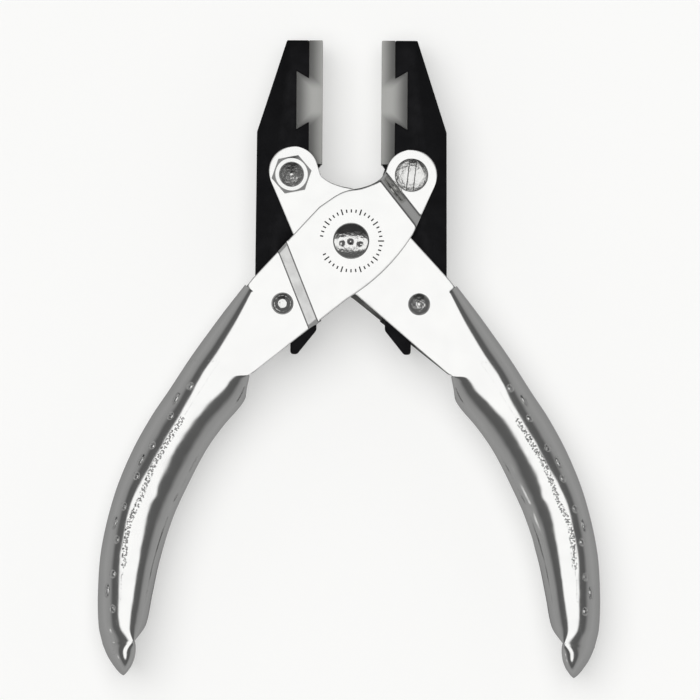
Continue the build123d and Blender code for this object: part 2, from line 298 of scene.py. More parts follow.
def settle(thing: Thing, sharp: float = 38.0) -> Thing:
    """Turns an object's modifiers into plain mesh and shades it smooth between sharp edges.

    Args:
        thing: The object.
        sharp: Edges that turn by more than this many degrees stay sharp.

    Returns:
        The same object.
    """
    graph = bpy.context.evaluated_depsgraph_get()
    mesh = bpy.data.meshes.new_from_object(thing.evaluated_get(graph))
    thing.modifiers.clear()
    mesh.name = thing.name
    thing.data = mesh
    mesh.shade_smooth()
    mesh.set_sharp_from_angle(angle=math.radians(sharp))
    return thing


def rounded(thing: Thing, width: float, segments: int = 2, angle: float = 35.0) -> Thing:
    """Rounds an object's edges, and settles it.

    Args:
        thing: The object.
        width: Width of the rounding in millimetres.
        segments: Facets of the rounding.
        angle: Edges that turn by more than this many degrees are rounded.

    Returns:
        The same object.
    """
    bevel = thing.modifiers.new("edge", "BEVEL")
    bevel.width = width * MM
    bevel.segments = segments
    bevel.limit_method = "ANGLE"
    bevel.angle_limit = math.radians(angle)
    return settle(thing)


def eased(corners: Sequence[Spot], facets: int = 6) -> list[Plan]:
    """Draws an outline through corners.

    Args:
        corners: Each corner's plan point and how wide it is rounded.
        facets: Facets of each rounding.

    Returns:
        The points of the outline.
    """
    points: list[Plan] = []
    for i, (x, y, radius) in enumerate(corners):
        if not radius:
            points.append((x, y))
            continue
        ways = []
        for u, v, _ in (corners[i - 1], corners[(i + 1) % len(corners)]):
            span = math.hypot(u - x, v - y)
            ways.append(((u - x) / span, (v - y) / span))
        half = math.acos(ways[0][0] * ways[1][0] + ways[0][1] * ways[1][1]) / 2
        cut = radius / math.tan(half)
        first, last = [(x + w[0] * cut, y + w[1] * cut) for w in ways]
        for k in range(facets + 1):
            t = k / facets
            points.append(blend(blend(first, (x, y), t), blend((x, y), last, t), t))
    return points


def same(p: Spot) -> Spot:
    """Leaves a point where it is."""
    return p


def half_turn(p: Spot) -> Spot:
    """Turns a point half way round about Y, which swaps left with right and front with rear."""
    return -p[0], p[1], -p[2]


def dress(
    thing: Thing,
    finish: Material,
    body: str,
    slot: str,
    *nodes: str,
    inside: Material | None = None,
) -> None:
    """Gives a piece its finish and ties it to the frame.

    Args:
        thing: The piece.
        finish: Its material.
        body: The CAD body that it rides on.
        slot: The record's material slot; not used.
        nodes: CAD nodes that it stands for.
        inside: Material of the faces that were marked as inner ones.
    """
    if inside is None:
        thing.data.materials.clear()
        thing.data.materials.append(finish)
    else:
        thing.data.materials[0], thing.data.materials[1] = finish, inside
    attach(thing, body)
    if nodes:
        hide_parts(*nodes)
    faces = sum(len(p.vertices) - 2 for p in thing.data.polygons)
    log.info("%s: %d triangles on %s", thing.name, faces, body)


def start_tree(
    name: str, sizes: dict[str, float], count_name: str, count: int
) -> tuple[Tree, dict[str, Socket]]:
    """Starts a geometry node tree with named inputs.

    Args:
        name: The tree's name.
        sizes: Its named lengths in millimetres.
        count_name: The name of its one whole number.
        count: That number.

    Returns:
        The tree, and its inputs by name.
    """
    tree = bpy.data.node_groups.new(name, "GeometryNodeTree")
    face = tree.interface
    face.new_socket("Geometry", in_out="INPUT", socket_type="NodeSocketGeometry")
    for label, size in sizes.items():
        face.new_socket(label, in_out="INPUT", socket_type="NodeSocketFloat").default_value = size * MM
    face.new_socket(count_name, in_out="INPUT", socket_type="NodeSocketInt").default_value = count
    face.new_socket("Geometry", in_out="OUTPUT", socket_type="NodeSocketGeometry")
    return tree, add_node(tree, "NodeGroupInput").outputs


def end_tree(tree: Tree, geometry: Socket, finish: Material) -> None:
    """Makes a tree's instances real, gives them their material and puts them out."""
    real = add_node(tree, "GeometryNodeRealizeInstances", {0: geometry})
    shown = add_node(tree, "GeometryNodeSetMaterial", {"Geometry": real.outputs[0], "Material": finish})
    add_node(tree, "NodeGroupOutput", {0: shown.outputs[0]})


def grow(thing: Thing, tree: Tree, sizes: dict[str, float]) -> Thing:
    """Runs a geometry node tree on an object and keeps the result as plain mesh.

    Args:
        thing: The object.
        tree: The tree.
        sizes: The tree's named lengths in millimetres.

    Returns:
        The same object.
    """
    grown = thing.modifiers.new("grown", "NODES")
    grown.node_group = tree
    for socket in tree.interface.items_tree:
        if socket.item_type == "SOCKET" and socket.in_out == "INPUT" and socket.name in sizes:
            grown[socket.identifier] = sizes[socket.name] * MM
    return settle(thing)


# ---------------------------------------------------------------- finishes


class Grain(Enum):
    """How a surface was made, which sets the pattern of its fine relief."""

    ROLLED = "rolled sheet, plated"
    TUMBLED = "tumbled or blasted"
    TURNED = "turned on a lathe"
    MOULDED = "moulded"


@dataclass(frozen=True)
class Finish:
    """A material: what it is, its colours, its gloss and its fine relief."""

    name: str
    shade: str
    worn: str
    metallic: float
    roughness: float
    rough_spread: float
    grain: Grain
    grain_mm: float
    relief_mm: float
    patch_mm: float = 6.0
    ior: float = 1.5
    milkiness_and_painted_shade: float = 0.0
    depth_mm: float = 2.2
    smear_mm: float = 2.3
    wrinkle_mm: float = 0.0
    dent_mm: float = 0.09
    glow: float = 0.0

    def make(self) -> Material:
        """Builds the node tree.

        Returns:
            The material.
        """
        material = bpy.data.materials.new(self.name)
        material.use_nodes = True
        tree = material.node_tree
        tree.nodes.clear()
        place = add_node(tree, "ShaderNodeTexCoord").outputs["Object"]
        scaled = {"Vector": place, "Scale": (1 / MM,) * 3}
        millimetres = add_node(tree, "ShaderNodeMapping", scaled).outputs[0]
        patches = self.noise(tree, millimetres, self.patch_mm, 3.0)
        mix = {0: patches, 6: linear(self.shade), 7: linear(self.worn)}
        colour = add_node(tree, "ShaderNodeMix", mix, data_type="RGBA").outputs[2]
        if self.milkiness_and_painted_shade:
            # Painted shade: milky nylon is darkened near the black steel.
            colour = self.painted_steel_shade(tree, millimetres, colour)
        gloss_range = self.roughness - self.rough_spread, self.roughness + self.rough_spread
        smears = self.noise(tree, millimetres, self.smear_mm, 4.0)
        inputs = {
            "Base Color": colour,
            "Metallic": self.metallic,
            "Roughness": remap(tree, smears, (0.3, 0.7), gloss_range),
            "Normal": self.relief(tree, millimetres),
        }
        if self.metallic < 0.5:
            inputs["IOR"] = self.ior
        if self.milkiness_and_painted_shade:
            # Light enters unfilled nylon and spreads for a few millimetres before it leaves.
            inputs["Subsurface Weight"] = self.milkiness_and_painted_shade
            inputs["Subsurface Radius"] = (1.0, 0.97, 0.9)
            inputs["Subsurface Scale"] = self.depth_mm * MM
        if self.glow:
            inputs["Emission Color"] = linear(self.shade)
            inputs["Emission Strength"] = self.glow
        shader = add_node(tree, "ShaderNodeBsdfPrincipled", inputs)
        add_node(tree, "ShaderNodeOutputMaterial", {"Surface": shader.outputs[0]})
        return material

    def painted_steel_shade(self, tree: Tree, place: Socket, colour: Socket) -> Socket:
        """Paints shade on milky nylon near the black steel round it, standing in for the light inside it that
        the steel swallows.

        Args:
            tree: The material's tree.
            place: Object coordinates in millimetres.
            colour: The colour far from the steel.

        Returns:
            The colour with the painted shade.
        """
        across, along, _ = add_node(tree, "ShaderNodeSeparateXYZ", {0: place}).outputs
        out = reckon(tree, "ABSOLUTE", across)
        seat, root, (middle, half_long) = *DOVETAIL_DEPTHS, DOVETAIL_SPAN
        off_middle = reckon(tree, "ABSOLUTE", reckon(tree, "SUBTRACT", along, middle))
        ends = reckon(tree, "SUBTRACT", half_long, off_middle)
        tongue = reckon(tree, "MINIMUM", reckon(tree, "SUBTRACT", root, out), ends)
        deep = reckon(tree, "MAXIMUM", reckon(tree, "SUBTRACT", seat, out), tongue)
        share = remap(tree, deep, (0.0, 3.4), (0.26, 1.0), "SMOOTHSTEP")
        grey = add_node(tree, "ShaderNodeCombineColor", {i: share for i in range(3)}).outputs[0]
        mix = {0: 1.0, 6: colour, 7: grey}
        return add_node(tree, "ShaderNodeMix", mix, data_type="RGBA", blend_type="MULTIPLY").outputs[2]

    def noise(self, tree: Tree, place: Socket, size: float, detail: float) -> Socket:
        """Cloudy pattern with features of a size in millimetres."""
        inputs = {"Vector": place, "Scale": 1 / size, "Detail": detail}
        return add_node(tree, "ShaderNodeTexNoise", inputs).outputs[0]

    def stored(self, tree: Tree, name: str) -> Socket:
        """Value that the mesh stores at each point under a name."""
        return add_node(tree, "ShaderNodeAttribute", attribute_name=name).outputs["Fac"]

    def relief(self, tree: Tree, place: Socket) -> Socket:
        """Bump for the grain, and the wrinkles where the sheet was folded.

        Args:
            tree: The material's tree.
            place: Object coordinates in millimetres.

        Returns:
            The normal output.
        """
        stretch = {
            Grain.ROLLED: (1.0, 0.18, 1.0),
            Grain.TURNED: (1.0, 1.0, 0.2),
            Grain.TUMBLED: (1.0, 1.0, 1.0),
            Grain.MOULDED: (0.5, 0.5, 0.5),
        }[self.grain]
        drawn = add_node(tree, "ShaderNodeMapping", {"Vector": place, "Scale": stretch}).outputs[0]
        fine = self.noise(tree, drawn, self.grain_mm, 3.0)
        inputs = {"Height": fine, "Distance": self.relief_mm * MM, "Strength": 1.0}
        bump = add_node(tree, "ShaderNodeBump", inputs)
        if self.wrinkle_mm:
            # Small creases along a line down the crown, on shallow dents a few millimetres wide.
            where = remap(tree, reckon(tree, "ABSOLUTE", self.stored(tree, "fold")), (0.2, 0.6), (1.0, 0.0))
            steep = remap(tree, self.noise(tree, place, 0.42, 1.0), (0.5, 0.66), (0.0, 1.0))
            creases = reckon(tree, "MULTIPLY", steep, where)
            dents = reckon(tree, "MULTIPLY", self.noise(tree, place, 3.6, 0.5), self.stored(tree, "flank"))
            for height, reach in ((dents, self.dent_mm), (creases, self.wrinkle_mm)):
                inputs = {"Height": height, "Distance": reach * MM, "Normal": bump.outputs[0]}
                inputs["Strength"] = 1.0
                bump = add_node(tree, "ShaderNodeBump", inputs)
        return bump.outputs[0]


# Nickel and chrome plate on rolled sheet: a bright mirror, faintly wavy, wrinkled where it was folded.
BRIGHT_PLATE = Finish(
    "bright nickel chrome plated sheet", "#F2F2F0", "#EAEAE9", 1.0, 0.14, 0.03, Grain.ROLLED, 1.6, 0.004,
    wrinkle_mm=0.08,
)
# The same sheet on the inner faces of the folds: duller and darker.
INNER_FOLD_PLATE = Finish(
    "darker plating inside the folds", "#7E7E7C", "#646462", 1.0, 0.38, 0.08, Grain.ROLLED, 1.6, 0.01,
    patch_mm=4.0,
)
# Black oxide on ground and tumbled steel: near black, dull, with a fine sparkle.
BLACK_OXIDE = Finish(
    "black oxide tool steel", "#28282A", "#303032", 0.95, 0.52, 0.08, Grain.TUMBLED, 0.28, 0.03, patch_mm=3.0
)
# Natural nylon 6: greyish white, milky, satin where it was moulded, with painted shade near the black steel.
NATURAL_NYLON = Finish(
    "natural moulded nylon", "#B4B4B1", "#ABABA8", 0.0, 0.42, 0.06, Grain.MOULDED, 1.2, 0.01, ior=1.53,
    milkiness_and_painted_shade=0.3,
)
# Plain bright steel, formed cold: a mirror with small hammer ripples.
RIVET_STEEL = Finish(
    "cold headed bright steel", "#F0F0EE", "#E2E2E0", 1.0, 0.14, 0.04, Grain.TUMBLED, 0.9, 0.09, patch_mm=2.0
)
# Turned steel: faint tool rings, a little greyer.
SCREW_STEEL = Finish(
    "turned bright steel", "#ECECEA", "#DCDCDA", 1.0, 0.18, 0.05, Grain.TURNED, 0.8, 0.08, patch_mm=2.0
)
# Zinc on a cold formed nut: bright, a touch softer than the handles.
NUT_ZINC = Finish(
    "bright zinc plated nut", "#F0F0EE", "#E6E7E6", 1.0, 0.16, 0.04, Grain.TUMBLED, 0.8, 0.012, patch_mm=2.0
)
# Painted shade for the marks struck into the plate, standing in for the shadow at their bottoms.
MARK_PAINTED_SHADE = Finish(
    "painted shade of struck marks", "#4A4A4A", "#3C3C3C", 0.6, 0.50, 0.05, Grain.TUMBLED, 0.3, 0.01, patch_mm=1.0
)
# Matt pale board, lit a little from below so that it stays pale round the tool.
PALE_BOARD = Finish(
    "matt pale board", "#D2D2D1", "#D0D0CF", 0.0, 0.85, 0.03, Grain.MOULDED, 8.0, 0.002,
    patch_mm=90.0, glow=0.6,
)


# ---------------------------------------------------------------- handles


@dataclass
class Edge:
    """One outline of a cheek, as a chain of plan points with some sharp corners."""

    points: list[Plan]
    corners: list[Plan]

    def __post_init__(self) -> None:
        """Measures the distance of each point along the chain."""
        self.run = runs(self.points)

    @property
    def length(self) -> float:
        """Whole length of the chain."""
        return self.run[-1]

    def at(self, place: float) -> Plan:
        """Finds the point at a distance along the chain.

        Args:
            place: The distance.

        Returns:
            The point.
        """
        i = max(0, min(len(self.points) - 2, bisect(self.run, place) - 1))
        share = (place - self.run[i]) / (self.run[i + 1] - self.run[i])
        return blend(self.points[i], self.points[i + 1], share)

    def crossing(self, angle: float, distance: float) -> float:
        """Finds where the chain first crosses a line.

        Args:
            angle: Direction in which the line lies from the centre pivot, in degrees.
            distance: How far off it lies.

        Returns:
            The distance along the chain.
        """
        c, s = unit(angle)
        reach = [x * c + y * s - distance for x, y in self.points]
        for i, (a, b) in enumerate(zip(reach, reach[1:])):
            if a * b <= 0 and a != b:
                return self.run[i] + (self.run[i + 1] - self.run[i]) * a / (a - b)
        raise ValueError("the outline does not cross that line")

    def spread(self, start: float, end: float, count: int) -> list[Plan]:
        """Spreads points evenly, with the nearest one moved on to each sharp corner.

        Args:
            start: Where the first lies along the chain.
            end: Where the last lies.
            count: How many steps there are.

        Returns:
            The points.
        """
        places = [start + (end - start) * i / count for i in range(count + 1)]
        found = [self.at(p) for p in places]
        for corner in self.corners:
            i = min(range(1, count), key=lambda k: math.dist(found[k], corner))
            if math.dist(found[i], corner) < (end - start) / count:
                found[i] = corner
        return found


@dataclass(frozen=True)
class Slope:
    """A step that lowers the raised cheek: its direction, where it starts and how wide it is."""

    angle: float
    near: float
    width: float
    bend: float = 0.4

    def fall(self, distance: float) -> float:
        """Share of the drop at a distance from the centre pivot, with softened bends."""
        past = distance - self.near
        return (self.sum_to(past + self.bend) - self.sum_to(past - self.bend)) / (2 * self.bend)

    def sum_to(self, x: float) -> float:
        """Sums the straight slope's fall, so that a difference of two sums has softened bends.

        Args:
            x: How far past the slope's start the sum goes.

        Returns:
            The sum.
        """
        if x <= 0:
            return 0.0
        return x * x / (2 * self.width) if x < self.width else x - self.width / 2


@dataclass
class Handle:
    """The pressed handle: two cheeks, a web on the outer side and a grip with folded lips.

    Sizes are for the left handle, in millimetres; the right one is its half turn about Y.
    """

    sheet: float = 1.5
    flat_top: float = 5.5
    raised_top: float = 7.05
    lobe_step: Slope = Slope(38.5, 12.05, 1.75)
    grip_step: Slope = Slope(201.9, 12.05, 2.2, 0.06)
    margin: int = 3
    across: int = 16
    around: int = 16
    side: int = 3
    folded: int = 14
    bowed_ribs: int = 14
    web_rows: int = 20
    tongue_rows: int = 18
    web_outer: tuple[Plan, ...] = ((-21.1, -8.8), (-25.4, -14.3), (-29.8, -20.3))
    web_inner: tuple[Plan, ...] = ((-13.3, -15.05), (-17.5, -20.43), (-20.25, -27.0))
    web_round: tuple[float, ...] = (2.2, 3.7, 4.5)
    web_step: float = 0.45
    lip_start: float = 0.3
    # Outer edge, inner edge, outer rounding, inner rounding, crown height and lip height.
    stations: tuple[tuple[float, ...], ...] = (
        (-29.8, -20.3, -20.25, -27.0, 4.5, 0.3, 5.5, 5.2),
        (-31.0, -22.0, -20.65, -29.1, 4.5, 4.0, 5.5, 3.6),
        (-32.7, -24.5, -21.3, -32.1, 4.5, 5.7, 5.5, 2.0),
        (-36.2, -29.9, -25.4, -37.1, 5.2, 6.5, 5.5, 2.0),
        (-39.8, -35.3, -28.7, -41.8, 5.7, 6.9, 5.5, 2.0),
        (-43.7, -42.5, -32.1, -48.3, 5.5, 7.1, 5.5, 2.0),
        (-47.0, -50.9, -35.3, -55.4, 4.5, 6.4, 5.5, 2.0),
        (-49.5, -61.3, -37.9, -63.9, 4.8, 5.0, 5.5, 2.0),
        (-50.2, -70.1, -39.4, -70.9, 5.1, 4.3, 5.5, 2.0),
        (-50.0, -77.3, -40.7, -77.1, 5.1, 3.6, 5.5, 2.0),
        (-49.2, -80.9, -42.7, -80.0, 6.2, 0.25, 5.4, 5.2),
    )
    # A dent that narrows the inner rounding: distance down the grip, how much and how long.
    dent: tuple[float, float, float] = (30.6, 0.9, 1.9)
    # The tongue past the lips rolls over inwards: outer edge, cut edge, turn and height of its crest.
    tongue: tuple[tuple[float, ...], ...] = (
        (-49.2, -80.9, -43.06, -80.05, 90, 5.4),
        (-48.2, -83.2, -42.75, -81.7, 118, 5.35),
        (-46.9, -85.2, -42.95, -83.7, 124, 5.1),
        (-45.8, -86.5, -43.6, -85.4, 122, 4.2),
        (-45.05, -87.05, -44.4, -86.5, 115, 2.6),
    )
    flecks: tuple[Plan, ...] = (
        (-33.4, -35.6), (-35.3, -38.6), (-38.9, -44.8), (-41.5, -51.2), (-44.0, -57.2), (-44.9, -65.0),
    )
    grip_rows: int = 150

    def outlines(self, raised: bool) -> tuple[Edge, Edge]:
        """Draws the two outlines of a cheek, both from the tip of its lobe towards the grip.

        Args:
            raised: Whether this is the cheek that passes over the other handle's.

        Returns:
            The upper and the lower outline.
        """
        shoulder, turn = (-6.4, 6.7), (-2.7, 9.2)
        shelf, end = (-19.6, -7.6), self.web_inner[-1]
        web = stepped(self.web_outer[0], towards(self.web_outer[0], self.web_inner[0]), self.web_step)
        if raised:
            centre, radius = (11.93, 13.15), 5.1
            ends, throat = (176, -24), [(5.5, 11.7), (2.0, 10.4), (-0.6, 10.05), turn, shoulder]
            belly = arc_through((12.4, 1.6), (7.3, -5.1), (-0.5, -11.4))
            heel: list[Plan] = []
        else:
            centre, radius = (11.53, 13.85), 4.95
            ends, throat = (153, -24), [(6.1, 12.9), (4.5, 11.8), (2.1, 10.9), (-0.3, 10.4), turn, shoulder]
            belly = arc_through((11.6, 1.3), (6.7, -4.6), (-1.0, -10.7))
            heel = [(-13.0, -20.9)]
        lead = self.lobe_step.angle
        steps = runs(throat)
        smooth = flowing(throat, steps, even(steps[-1], 40))
        upper = arc(centre, radius, lead + 60, ends[0] - lead - 60) + smooth + [shelf, web]
        lower = arc(centre, radius, lead - 60, ends[1] - lead + 60, 4) + belly + heel + [end]
        self.lobe = arc(centre, radius, lead + 60, -120, 100)
        return Edge(upper, [throat[0], shelf]), Edge(lower, [belly[0], belly[-1], *heel])

    def cheek_rows(self, raised: bool) -> tuple[list[tuple[Plan, Plan, float]], Edge, float]:
        """Ribs across a cheek from its lobe to the web.

        Args:
            raised: Whether this is the cheek that passes over the other handle's.

        Returns:
            For each rib its two ends and its height, then the lower outline and its place there.
        """
        upper, lower = self.outlines(raised)
        lobe, grip = self.lobe_step, self.grip_step
        lobe_out, lobe_in = lobe.near + lobe.width + 0.6, lobe.near - 0.6
        grip_in, grip_out = grip.near - 0.6, grip.near + grip.width + 0.6
        web_place = lower.crossing(grip.angle, 16.9)
        over = self.raised_top if raised else self.flat_top
        ribs: list[tuple[Plan, Plan, float]] = []

        def run(u: tuple[float, float], l: tuple[float, float], count: int, height: float) -> None:
            """Adds ribs spread evenly along both outlines, all of one height."""
            pairs = zip(upper.spread(*u, count), lower.spread(*l, count))
            ribs.extend((a, b, height) for a, b in list(pairs)[:-1])

        def steps(slope: Slope, start: float, end: float, count: int) -> None:
            """Adds ribs along a step, each at one distance from the pivot."""
            for i in range(count):
                d = start + (end - start) * i / count
                a, b = (edge.at(edge.crossing(slope.angle, d)) for edge in (upper, lower))
                ribs.append((a, b, over - (over - self.flat_top) * slope.fall(d)))

        u1, l1 = (e.crossing(lobe.angle, lobe_out) for e in (upper, lower))
        u2, l2 = (e.crossing(lobe.angle, lobe_in) for e in (upper, lower))
        u3, l3 = (e.crossing(grip.angle, grip_in) for e in (upper, lower))
        u4, l4 = (e.crossing(grip.angle, grip_out) for e in (upper, lower))
        run((0, u1), (0, l1), 14, self.flat_top)
        steps(lobe, lobe_out, lobe_in, 16)
        run((u2, u3), (l2, l3), 44, over)
        steps(grip, grip_in, grip_out, 24)
        run((u4, upper.length), (l4, web_place), 12, self.flat_top)
        ribs.append((upper.at(upper.length), lower.at(web_place), self.flat_top))
        return ribs, lower, web_place

    def outer_fold(
        self, outer: Plan, way: Plan, wide: float, high: float, top: float, turn: float = 90.0
    ) -> Row:
        """Section from the middle of the web, up its side and round its rounding.

        Args:
            outer: The outer edge.
            way: Unit direction across the grip.
            wide: Rounding across.
            high: Rounding through the thickness.
            top: Height of the crown.
            turn: How far round the fold goes, in degrees.

        Returns:
            The points of the section.
        """
        wall = top - high
        row = [(outer[0], outer[1], wall * i / self.side) for i in range(self.side)]
        for i in range(self.around + 1):
            t = math.radians(turn * i / self.around)
            row.append((*stepped(outer, way, wide * (1 - math.cos(t))), wall + high * math.sin(t)))
        return row

    def half(self, pad: Pad, raised: bool, rear: bool) -> None:
        """Adds the front or the rear half of the sheet.

        Args:
            pad: What it is added to.
            raised: Whether its cheek passes over the other handle's.
            rear: Whether it is the rear half.
        """

        def lay(rows: list[Row]) -> None:
            """Adds a grid, turned over for the rear half."""
            pad.grid([[(x, y, -z) for x, y, z in row] for row in rows] if rear else rows, flip=rear)

        ribs, lower, web_place = self.cheek_rows(raised)
        crest = stepped(self.web_outer[0], towards(self.web_outer[0], self.web_inner[0]), self.web_round[0])
        first = self.web_round[0] - self.web_step
        share = first / (first + math.dist(crest, ribs[-1][1]))
        outer_part: list[Row] = []
        flat_part: list[Row] = []
        fractions = even(share, self.margin)[:-1] + [share + f for f in even(1 - share, self.across)]
        for n, (a, b, z) in enumerate(ribs):
            # The first ribs bow with the round end of the lobe, and the last one bends at the web's crest.
            pull = max(0.0, 1 - n / self.bowed_ribs) ** 2
            row = []
            for f in fractions:
                x, y = blend(a, b, f)
                if pull:
                    k = int(f * 100)
                    bow = blend(self.lobe[k], self.lobe[min(100, k + 1)], f * 100 % 1)
                    chord = blend(self.lobe[0], self.lobe[100], f)
                    x, y = x + pull * (bow[0] - chord[0]), y + pull * (bow[1] - chord[1])
                row.append((x, y, z))
            if n == len(ribs) - 1:
                row = [(*blend(row[0][:2], crest, f), z) for f in even(1, self.margin)[:-1]]
                row += [(*blend(crest, b, f), z) for f in even(1, self.across)]
            outer_part.append(row[: self.margin + 1])
            flat_part.append(row[self.margin :])
        lay(outer_part)

        folds: list[Row] = []
        lips: list[Row] = []
        top = self.flat_top
        knots = [(*o, *i, r) for o, i, r in zip(self.web_outer, self.web_inner, self.web_round)]
        for n, (*ends, wide) in enumerate(flowing(knots, (0, 1, 2), even(2, self.web_rows))):
            outer, inner = ends[:2], ends[2:]
            fold = self.outer_fold(outer, towards(outer, inner), wide, wide, top)
            folds.append(fold)
            if 0 < n < self.web_rows:
                end = lower.at(web_place + (lower.length - self.lip_start - web_place) * n / self.web_rows)
                flat_part.append([(*blend(fold[-1][:2], end, f), top) for f in even(1, self.across)])
        steps = runs([blend(values[:2], values[2:4], 0.5) for values in self.stations])
        for n, (*ends, wide, folded, top, lip) in enumerate(
            flowing(self.stations, steps, even(steps[-1], self.grip_rows))
        ):
            outer, inner = ends[:2], ends[2:]
            place, less, reach = self.dent
            folded -= less * math.exp(-(((steps[-1] * n / self.grip_rows - place) / reach) ** 2))
            folded, lip = max(0.25, folded), max(2.0, min(lip, top - 0.2))
            way = towards(outer, inner)
            fold = self.outer_fold(outer, way, wide, min(wide, top), top)
            if n:
                folds.append(fold)
            high = min(top - 0.15, max(folded * 0.9, top - lip))
            end = math.acos(max(0.0, 1 - (top - lip) / high))
            edge = stepped(inner, way, -folded)
            flat_part.append([(*blend(fold[-1][:2], edge, f), top) for f in even(1, self.across)])
            outward = folded / math.sin(end)
            turns = even(end, self.folded)
            curl = [(outward * math.sin(t), top - high * (1 - math.cos(t))) for t in turns]
            lips.append([(*stepped(edge, way, out), height) for out, height in curl])
        lay(flat_part)
        lay(lips)
        steps = runs([values[:2] for values in self.tongue])
        for *ends, turn, height in flowing(self.tongue, steps, even(steps[-1], self.tongue_rows)[1:]):
            outer, cut = ends[:2], ends[2:]
            wide = math.dist(outer, cut) / (1 - math.cos(math.radians(turn)))
            folds.append(self.outer_fold(outer, towards(outer, cut), wide, height, height, turn))
        lay(folds)

    def build(self) -> list[Thing]:
        """Builds both handles.

        Returns:
            The left and the right handle.
        """
        pad = Pad()
        self.half(pad, raised=True, rear=False)
        self.half(pad, raised=False, rear=True)
        made = []
        for name, place in (("left", same), ("right", half_turn)):
            thing = pad.piece(f"pressed_handle_{name}", place, recalc=False)
            for _ in range(2):
                thing.data.materials.append(None)
            wall = thing.modifiers.new("sheet", "SOLIDIFY")
            wall.thickness = self.sheet * MM
            wall.offset = -1
            wall.use_even_offset = True
            wall.use_quality_normals = True
            wall.material_offset = 1
            made.append(self.mark_folds(rounded(thing, 0.13, 2, 55)))
        return made

    def mark_folds(self, thing: Thing) -> Thing:
        """Stores two things at each point of a handle, for its finish.

        Args:
            thing: The handle.

        Returns:
            The same handle, with its distance in millimetres to either side of the line where the
            crown is flecked as "fold", and how deeply the grip may be dented there as "flank".
        """
        side = 1 if sum(v.co.x for v in thing.data.vertices) < 0 else -1
        folds, flanks = [], []
        ends = [(b[0] - a[0], b[1] - a[1]) for a, b in zip(self.fleck_points, self.fleck_points[1:])]
        for vertex in thing.data.vertices:
            x, y = vertex.co.x / MM * side, vertex.co.y / MM
            flanks.append(max(0.0, min(1.0, -y / 8 - 2.5)))
            near = -9.0
            if y < -24:
                i = min(range(len(ends)), key=lambda k: math.dist((x, y), self.fleck_points[k]))
                (u, v), (across, along) = self.fleck_points[i], ends[i]
                side_of_line = math.copysign(1.0, (x - u) * along - (y - v) * across)
                near = side_of_line * math.dist((x, y), (u, v))
            folds.append(near)
        for name, values in (("fold", folds), ("flank", flanks)):
            thing.data.attributes.new(name, "FLOAT", "POINT").data.foreach_set("value", values)
        return thing

    def __post_init__(self) -> None:
        """Spreads points down the line where the crown is flecked."""
        steps = runs(self.flecks)
        self.fleck_points = flowing(self.flecks, steps, even(steps[-1], 90))


@dataclass
class GripMarks:
    """Raised pips along each grip's outer flank, with short bars between every second pair."""

    pips: tuple[Plan, ...] = (
        (-31.9, -29.1), (-35.8, -35.0), (-39.4, -40.9), (-42.5, -47.0),
        (-45.0, -53.1), (-46.4, -59.7), (-47.1, -66.6), (-47.1, -73.5),
    )
    bars: tuple[Plan, ...] = ((-34.7, -31.5), (-41.6, -43.8), (-46.8, -56.4), (-48.2, -69.9))
    pip_size: Spot = (0.75, 0.9, 0.34)
    bar_size: Spot = (0.6, 1.45, 0.36)
    unit_size: dict[str, float] = field(default_factory=lambda: {"Size": 1.0})
    facets: int = 20
    above: float = 30.0

    def tree(self, finish: Material) -> Tree:
        """Makes the tree that sets a flattened dome on every point, turned and sized as the point says.

        Args:
            finish: Material of the marks.

        Returns:
            The tree.
        """
        tree, given = start_tree("embossed marks", self.unit_size, "Facets", self.facets)
        ball = {"Segments": given["Facets"], "Rings": self.facets // 2, "Radius": given["Size"]}
        dome = add_node(tree, "GeometryNodeMeshUVSphere", ball).outputs["Mesh"]
        kind = "GeometryNodeInputNamedAttribute"
        size, turn = (
            add_node(tree, kind, {"Name": name}, data_type="FLOAT_VECTOR").outputs[0]
            for name in ("size", "turn")
        )
        turned = add_node(tree, "FunctionNodeEulerToRotation", {0: turn}).outputs[0]
        inputs = {"Points": given["Geometry"], "Instance": dome, "Rotation": turned, "Scale": size}
        placed = add_node(tree, "GeometryNodeInstanceOnPoints", inputs).outputs[0]
        end_tree(tree, placed, finish)
        return tree

    def build(self, handle: Thing, name: str, side: int, tree: Tree) -> Thing:
        """Stands the marks on both faces of one grip.

        Args:
            handle: The grip's finished mesh.
            name: The piece's name.
            side: 1 for the left grip, -1 for the right.
            tree: The node tree of the marks.

        Returns:
            The marks as one plain mesh.
        """
        graph = bpy.context.evaluated_depsgraph_get()
        skin = BVHTree.FromObject(handle, graph)
        spots, turns, sizes = [], [], []
        for marks, size in ((self.pips, self.pip_size), (self.bars, self.bar_size)):
            for i, (x, y) in enumerate(marks):
                after, before = marks[min(i + 1, len(marks) - 1)], marks[max(i - 1, 0)]
                along = Vector(((after[0] - before[0]) * side, after[1] - before[1], 0)).normalized()
                for face in (1, -1):
                    start = Vector((x * side, y, face * self.above)) * MM
                    spot, normal, _, _ = skin.ray_cast(start, Vector((0, 0, -face)))
                    if spot is None:
                        continue
                    long = (along - normal * along.dot(normal)).normalized()
                    frame_axes = Matrix((long.cross(normal), long, normal)).transposed()
                    spots.append(spot)
                    turns.append(tuple(frame_axes.to_euler()))
                    sizes.append(size)
        mesh = bpy.data.meshes.new(name)
        mesh.from_pydata(spots, [], [])
        for label, values in (("turn", turns), ("size", sizes)):
            layer = mesh.attributes.new(label, "FLOAT_VECTOR", "POINT")
            layer.data.foreach_set("vector", [c for value in values for c in value])
        thing = bpy.data.objects.new(name, mesh)
        bpy.context.scene.collection.objects.link(thing)
        return grow(thing, tree, self.unit_size)


